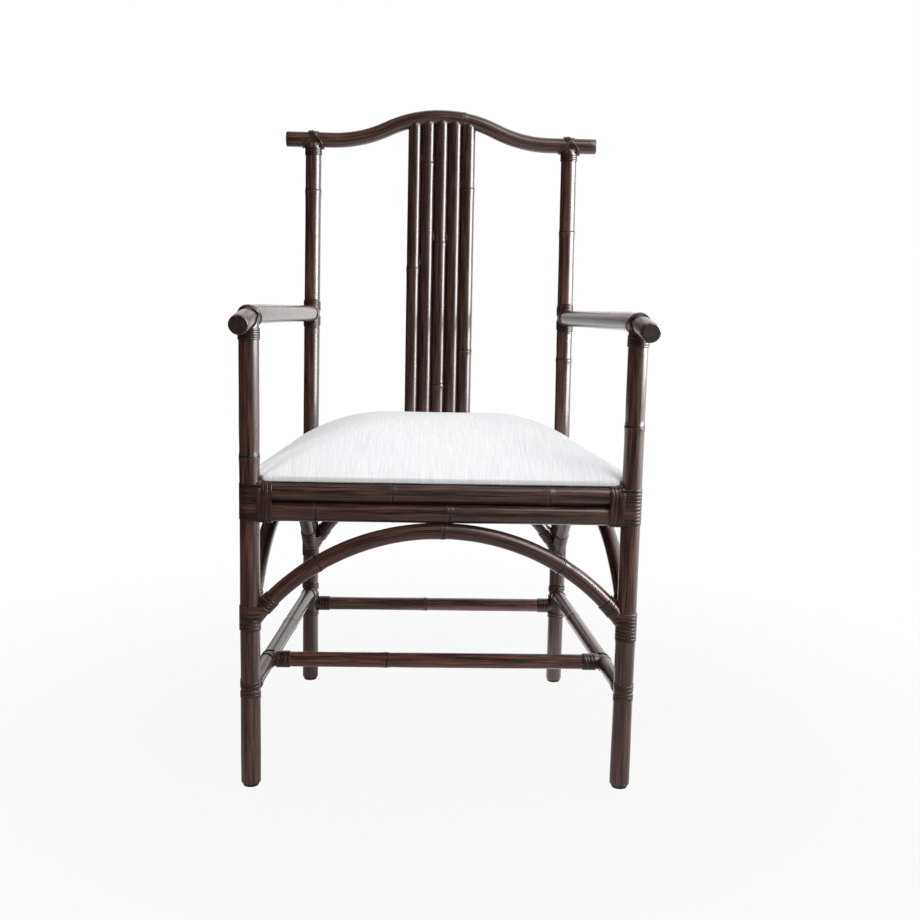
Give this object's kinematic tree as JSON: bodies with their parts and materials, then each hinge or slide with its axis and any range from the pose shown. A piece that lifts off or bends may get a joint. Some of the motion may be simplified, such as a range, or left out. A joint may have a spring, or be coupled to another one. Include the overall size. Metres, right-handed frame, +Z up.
{
  "type": "rattan pole armchair",
  "caption": "Open armchair of dark bound rattan poles: humped crest rail, pole splat, long arms, arched braces under a domed white cloth seat, and pole stretchers.",
  "frame": {"origin": "on the floor, under the middle of the chair's width and depth", "axes": "+Z up, +Y towards the back, +X to the right as seen from the front"},
  "size_m": [0.5489, 0.5565, 0.9728],
  "materials": {
    "pole": "satin dark brown stain",
    "cane": "satin dark brown stain",
    "seat_cloth": "fine ribbed cloth",
    "foam": "open-cell foam",
    "board_wood": "bare plywood",
    "dust_cloth": "thin black cloth",
    "pin_wood": "bare hardwood",
    "screw_steel": "zinc plated",
    "glide_plastic": "moulded"
  },
  "bodies": {
    "root": {"arch_front_binding_left": "cane", "arch_front_binding_right": "cane", "arch_pins": "pin_wood", "arch_rear_binding_left": "cane", "arch_rear_binding_right": "cane", "arm_front_binding_left": "cane", "arm_front_binding_right": "cane", "arm_left": "pole", "arm_pins": "pin_wood", "arm_rear_binding_left": "cane", "arm_rear_binding_right": "cane", "arm_right": "pole", "back_pole_1": "pole", "back_pole_2": "pole", "back_pole_3": "pole", "back_pole_4": "pole", "back_pole_5": "pole", "back_pole_pins": "pin_wood", "crest_binding_left": "cane", "crest_binding_right": "cane", "crest_pins": "pin_wood", "crest_rail": "pole", "cross_stretcher": "pole", "cross_stretcher_binding_left": "cane", "cross_stretcher_binding_right": "cane", "dust_cover": "dust_cloth", "foot_glides": "glide_plastic", "front_arch": "pole", "front_leg_left": "pole", "front_leg_right": "pole", "front_rail_lower": "pole", "front_rail_upper": "pole", "left_arch": "pole", "left_rail_lower": "pole", "left_rail_upper": "pole", "left_stretcher": "pole", "rail_pins": "pin_wood", "rear_arch": "pole", "rear_leg_left": "pole", "rear_leg_right": "pole", "rear_rail_lower": "pole", "rear_rail_upper": "pole", "rear_stretcher": "pole", "right_arch": "pole", "right_rail_lower": "pole", "right_rail_upper": "pole", "right_stretcher": "pole", "seat_board": "board_wood", "seat_cover": "seat_cloth", "seat_foam": "foam", "seat_front_binding_left": "cane", "seat_front_binding_right": "cane", "seat_rear_binding_left": "cane", "seat_rear_binding_right": "cane", "seat_screws": "screw_steel", "stretcher_front_binding_left": "cane", "stretcher_front_binding_right": "cane", "stretcher_pins": "pin_wood", "stretcher_rear_binding_left": "cane", "stretcher_rear_binding_right": "cane"}
  },
  "joints": []
}
